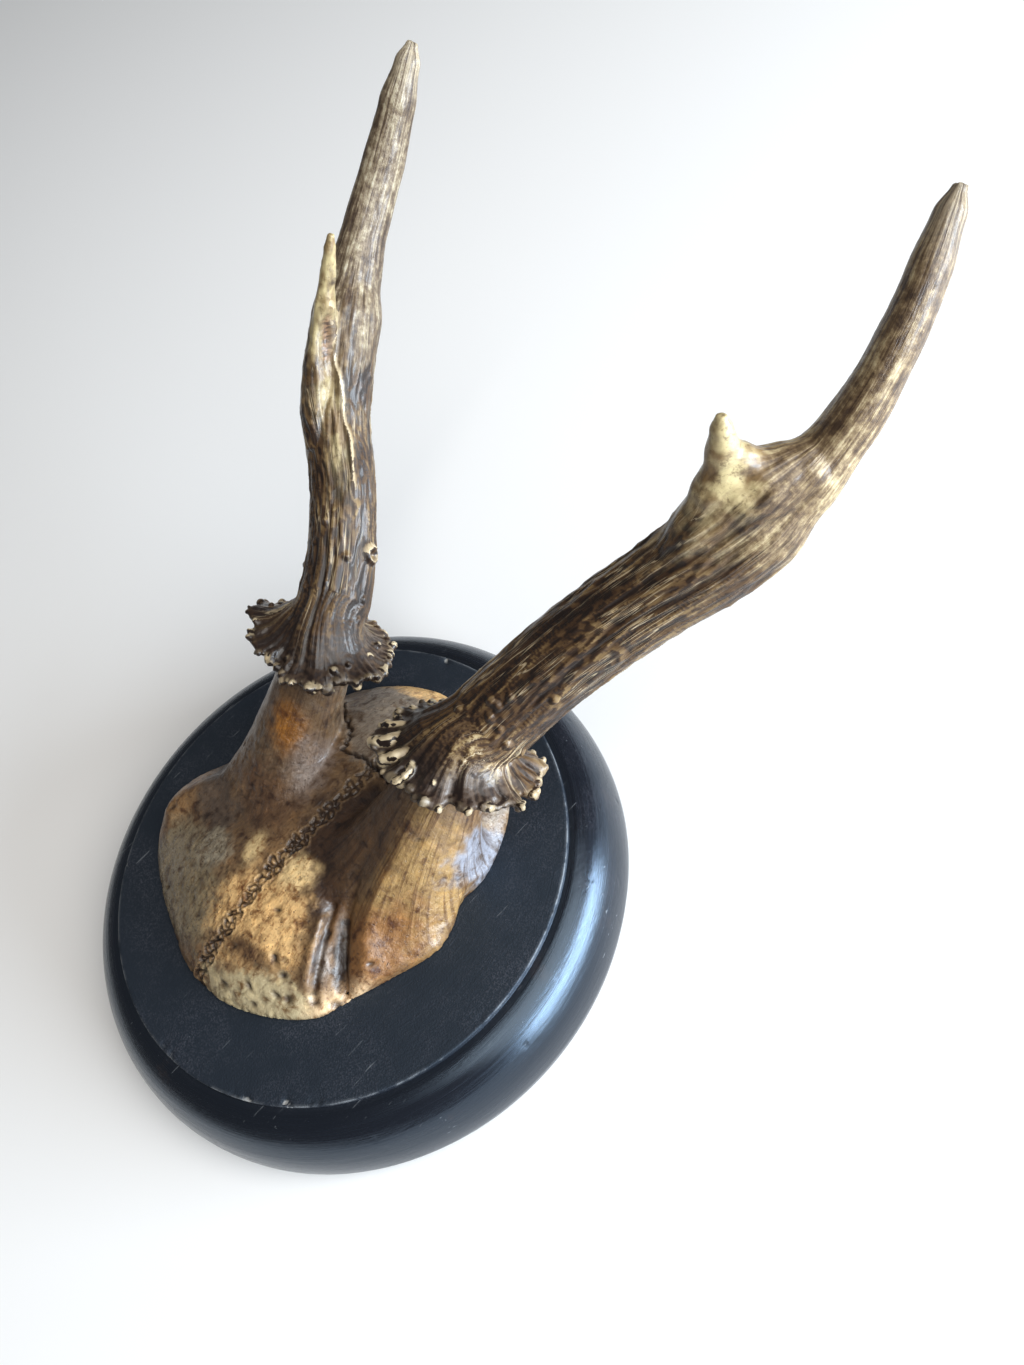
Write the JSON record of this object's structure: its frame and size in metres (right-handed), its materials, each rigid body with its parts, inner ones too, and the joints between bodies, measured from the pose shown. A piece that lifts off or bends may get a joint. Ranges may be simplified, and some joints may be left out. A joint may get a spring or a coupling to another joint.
{
  "type": "mounted roe deer antlers",
  "caption": "Forked roe deer antlers grown on their sawn skull cap, mounted on a round turned plaque of ebonised wood.",
  "frame": {"origin": "centre of the plaque's flat back face", "axes": "+Z out of the plaque's face, +Y towards the back of the skull, which is up when the plaque hangs on a wall, +X towards the antler on the right of someone facing the plaque"},
  "size_m": [0.1554, 0.2259, 0.1392],
  "materials": {
    "ebonised_wood": "satin",
    "skull_bone": "satin",
    "antler_beam": "satin",
    "antler_tine": "satin",
    "screw_steel": "satin"
  },
  "bodies": {
    "root": {"plaque": "ebonised_wood", "skull_cap": "skull_bone", "left_antler_beam": "antler_beam", "right_antler_beam": "antler_beam", "left_front_tine": "antler_tine", "right_front_tine": "antler_tine", "lower_screw": "screw_steel", "upper_screw": "screw_steel"}
  },
  "joints": []
}
